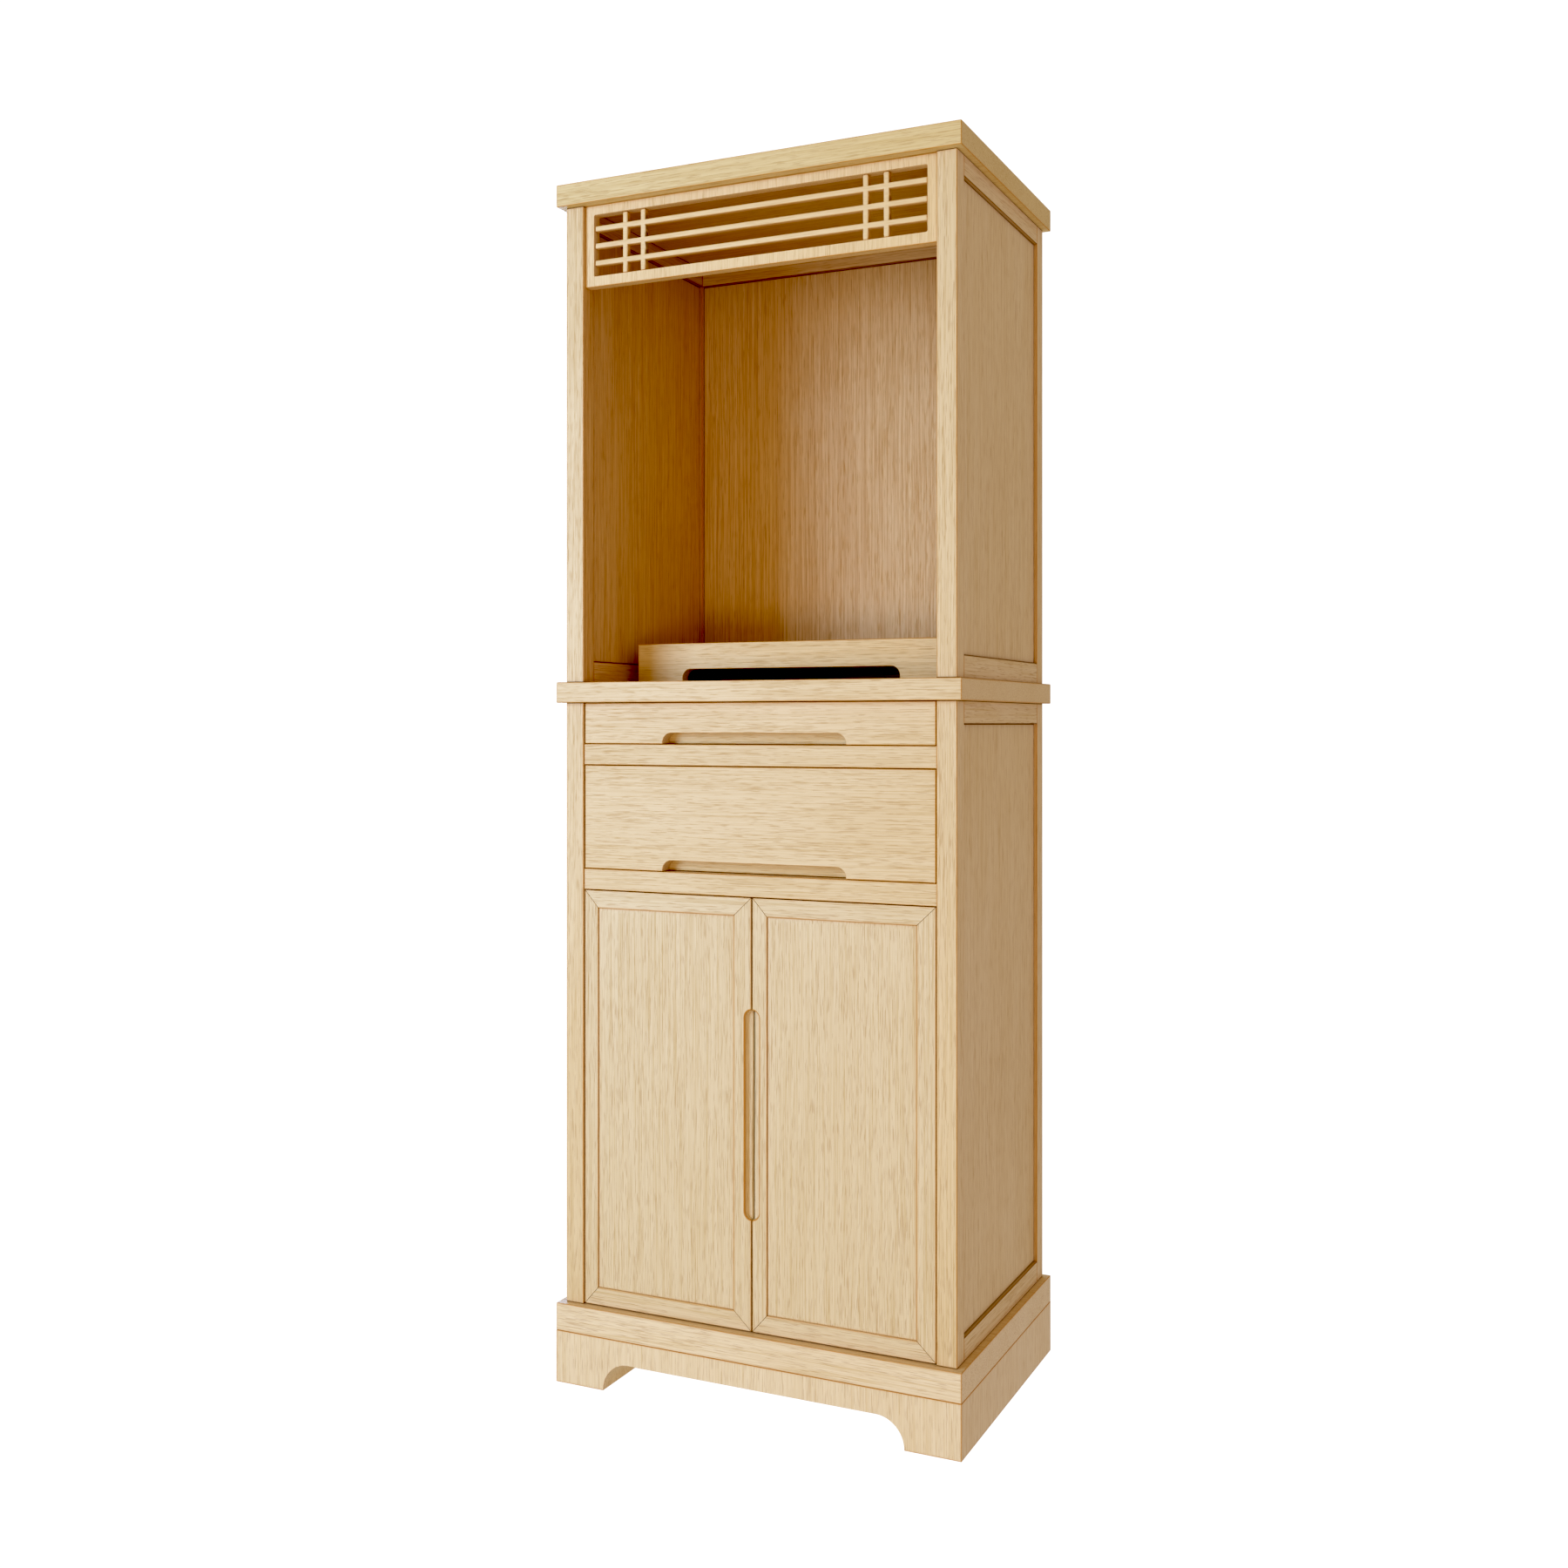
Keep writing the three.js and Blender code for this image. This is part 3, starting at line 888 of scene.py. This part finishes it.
class CABINET_OT_drawers(bpy.types.Operator):
    """Builds the two drawers: notched fronts and plain boxes"""

    bl_idname = "cabinet.drawers"
    bl_label = "Drawers"

    def execute(self, context):
        joinery = settings().joinery
        look = settings().wood
        plain = {"base": look.inside, "figure": INSIDE_FIGURE}
        for drawer in DRAWERS:
            eased_copy(f"{drawer}_front", ACROSS, joinery.drawer_ease)
            eased_box(f"{drawer}_inner_front", ACROSS, joinery.inside_ease, base=look.behind)
            eased_box(f"{drawer}_back", ACROSS, joinery.inside_ease, **plain)
            eased_box(f"{drawer}_bottom", ACROSS, joinery.inside_ease, **plain)
            for side in SIDES:
                eased_box(f"{drawer}_side_{side}", DEEP, joinery.inside_ease, **plain)
        return {"FINISHED"}


class CABINET_OT_doors(bpy.types.Operator):
    """Builds the two mitred doors and the finger pull cut into them"""

    bl_idname = "cabinet.doors"
    bl_label = "Doors"

    def execute(self, context):
        build_door("left_door", hinge_on_left=True)
        build_door("right_door", hinge_on_left=False)
        return {"FINISHED"}


class CABINET_OT_lattice(bpy.types.Operator):
    """Builds the lattice under the top board"""

    bl_idname = "cabinet.lattice"
    bl_label = "Lattice"

    def execute(self, context):
        base = settings().wood.lattice
        ease = settings().joinery.drawer_ease
        eased_copy("lattice_frame", UPRIGHT, ease, base=base, figure=LATTICE_FIGURE)
        finish_piece(lattice_bars(), "lattice_bars", ACROSS, base=base, figure=BAR_FIGURE)
        return {"FINISHED"}


class CABINET_OT_riser(bpy.types.Operator):
    """Builds the riser in the niche"""

    bl_idname = "cabinet.riser"
    bl_label = "Riser"

    def execute(self, context):
        joinery = settings().joinery
        base = settings().wood.riser
        eased_copy("riser_front", ACROSS, joinery.drawer_ease, base=base)
        eased_box("riser_top", ACROSS, joinery.rail_ease, base=base)
        for side in SIDES:
            eased_box(f"riser_side_{side}", DEEP, joinery.rail_ease)
        return {"FINISHED"}


# Stage

# White as the camera sees it, and the tint and strength of what the floor casts on the object
PAPER_WHITE = 1.06
FLOOR_BOUNCE = 0.59
FLOOR_TINT = (1.0, 0.94, 0.82)
AMBIENT_TINT = (1.0, 0.875, 0.56)

# The camera, in metres and degrees, and its shifts as shares of the picture's width
CAMERA_PLACE = (0.982, -2.179, 0.941)
CAMERA_TURN = 24.89
CAMERA_SHIFT = (-0.0048, -0.0383)
SENSOR_WIDTH = 36.0

# Two points of the tone curve, each a level and what is shown for it; the curve for all three
# colours is the fourth of Blender's curves
SHADOW_TOE = ((0.05, 0.0), (0.10, 0.043))
ALL_COLOURS = 3


class Lamp(NamedTuple):
    """A rectangular lamp: where it hangs, what it points at, its sides and its colour"""

    place: tuple
    aim: tuple
    size: tuple
    rgb: tuple


FRONT_AIM = (0.0, -0.1, 0.9)
BACK_AIM = (0.0, 0.2, 0.9)
COOL = (0.35, 0.6, 1.0)

# Each lamp takes its power from the setting of its name
LAMPS = {
    "key": Lamp((-2.0, -3.0, 1.5), FRONT_AIM, (1.5, 2.2), (0.409, 0.654, 1.053)),
    "low": Lamp((1.0, -3.1, 0.35), FRONT_AIM, (2.4, 0.6), (0.88, 0.79, 0.85)),
    "side": Lamp((3.2, -0.3, 1.5), FRONT_AIM, (2.0, 1.6), (0.02, 0.1, 1.0)),
    "back": Lamp((-2.2, 3.0, 1.5), BACK_AIM, (1.6, 2.2), COOL),
    "top": Lamp((0.0, 0.2, 4.2), BACK_AIM, (1.4, 1.0), COOL),
}


def build_lamp(name, lamp, power):
    light = bpy.data.lights.new(name, "AREA")
    light.shape = "RECTANGLE"
    light.size, light.size_y = lamp.size
    light.energy = power
    light.color = lamp.rgb
    holder = bpy.data.objects.new(name, light)
    holder.location = lamp.place
    holder.rotation_euler = (Vector(lamp.aim) - Vector(lamp.place)).to_track_quat("-Z", "Y").to_euler()
    bpy.context.scene.collection.objects.link(holder)


def white_to_camera(shader, kind, tint, strength):
    """Plain white to the camera, and a softer light of one tint to the object"""
    camera_ray = shader.node("ShaderNodeLightPath")
    light = shader.node(kind, None, {"Color": opaque(tint), "Strength": strength})
    white = shader.node(kind, None, {"Color": WHITE, "Strength": PAPER_WHITE})
    return shader.node("ShaderNodeMixShader", None, {0: camera_ray, 1: light, 2: white})


def build_world(strength):
    """White behind the object, and a softer even light on it"""
    world = bpy.data.worlds.new("Studio")
    bpy.context.scene.world = world
    shader = Shader(world)
    surface = white_to_camera(shader, "ShaderNodeBackground", AMBIENT_TINT, strength)
    shader.end(surface, "ShaderNodeOutputWorld")


def build_floor(size):
    """A plain pale floor that stays white round the object"""
    bm = bmesh.new()
    bmesh.ops.create_grid(bm, x_segments=1, y_segments=1, size=size / 2)
    mesh = bpy.data.meshes.new("floor")
    bm.to_mesh(mesh)
    bm.free()
    floor = bpy.data.objects.new("floor", mesh)
    bpy.context.scene.collection.objects.link(floor)
    material = bpy.data.materials.new("floor_paint")
    shader = Shader(material)
    shader.end(white_to_camera(shader, "ShaderNodeEmission", FLOOR_TINT, FLOOR_BOUNCE))
    mesh.materials.append(material)


def build_camera(focal):
    scene = bpy.context.scene
    camera = bpy.data.cameras.new("camera")
    camera.sensor_fit = "HORIZONTAL"
    camera.sensor_width = SENSOR_WIDTH
    camera.lens = focal
    camera.shift_x, camera.shift_y = CAMERA_SHIFT
    holder = bpy.data.objects.new("camera", camera)
    holder.location = CAMERA_PLACE
    holder.rotation_euler = (math.radians(90), 0.0, math.radians(CAMERA_TURN))
    scene.collection.objects.link(holder)
    scene.camera = holder


def set_view(view):
    """Plain colours, with a gentle toe in the tone curve as in a product photograph"""
    view.view_transform = "Standard"
    view.look = "None"
    view.use_curve_mapping = True
    curve = view.curve_mapping.curves[ALL_COLOURS]
    for level, shown in SHADOW_TOE:
        curve.points.new(level, shown)
    for point in curve.points:
        point.handle_type = "VECTOR"
    view.curve_mapping.update()


class CABINET_OT_stage(bpy.types.Operator):
    """Builds the floor, the soft studio light and the camera"""

    bl_idname = "cabinet.stage"
    bl_label = "Stage"

    def execute(self, context):
        stage = settings().stage
        build_world(stage.ambient)
        build_floor(stage.floor_size)
        for name, lamp in LAMPS.items():
            build_lamp(name, lamp, getattr(stage, f"{name}_power"))
        build_camera(stage.focal)
        set_view(context.scene.view_settings)
        return {"FINISHED"}


class CABINET_PT_sidebar(bpy.types.Panel):
    """Lists the cabinet's sizes, colours and building steps"""

    bl_idname = "CABINET_PT_sidebar"
    bl_label = "Altar Cabinet"
    bl_space_type = "VIEW_3D"
    bl_region_type = "UI"
    bl_category = "Altar Cabinet"

    def draw(self, context):
        cabinet = context.scene.altar_cabinet
        for group in (cabinet.wood, cabinet.joinery, cabinet.stage):
            column = self.layout.column(align=True)
            for key in group.__annotations__:
                column.prop(group, key)
        column = self.layout.column(align=True)
        for operator in OPERATORS:
            column.operator(operator.bl_idname)


OPERATORS = (
    CABINET_OT_boards,
    CABINET_OT_carcase,
    CABINET_OT_drawers,
    CABINET_OT_doors,
    CABINET_OT_lattice,
    CABINET_OT_riser,
    CABINET_OT_stage,
)

SETTINGS = (WoodSettings, JoinerySettings, StageSettings, CabinetSettings)
CLASSES = SETTINGS + OPERATORS + (CABINET_PT_sidebar,)


def register():
    for item in CLASSES:
        bpy.utils.register_class(item)
    bpy.types.Scene.altar_cabinet = PointerProperty(type=CabinetSettings)


def unregister():
    del bpy.types.Scene.altar_cabinet
    for item in reversed(CLASSES):
        bpy.utils.unregister_class(item)


def main():
    register()
    bpy.ops.cabinet.boards()
    bpy.ops.cabinet.carcase()
    bpy.ops.cabinet.drawers()
    bpy.ops.cabinet.doors()
    bpy.ops.cabinet.lattice()
    bpy.ops.cabinet.riser()
    bpy.ops.cabinet.stage()


if __name__ == "__main__":
    main()
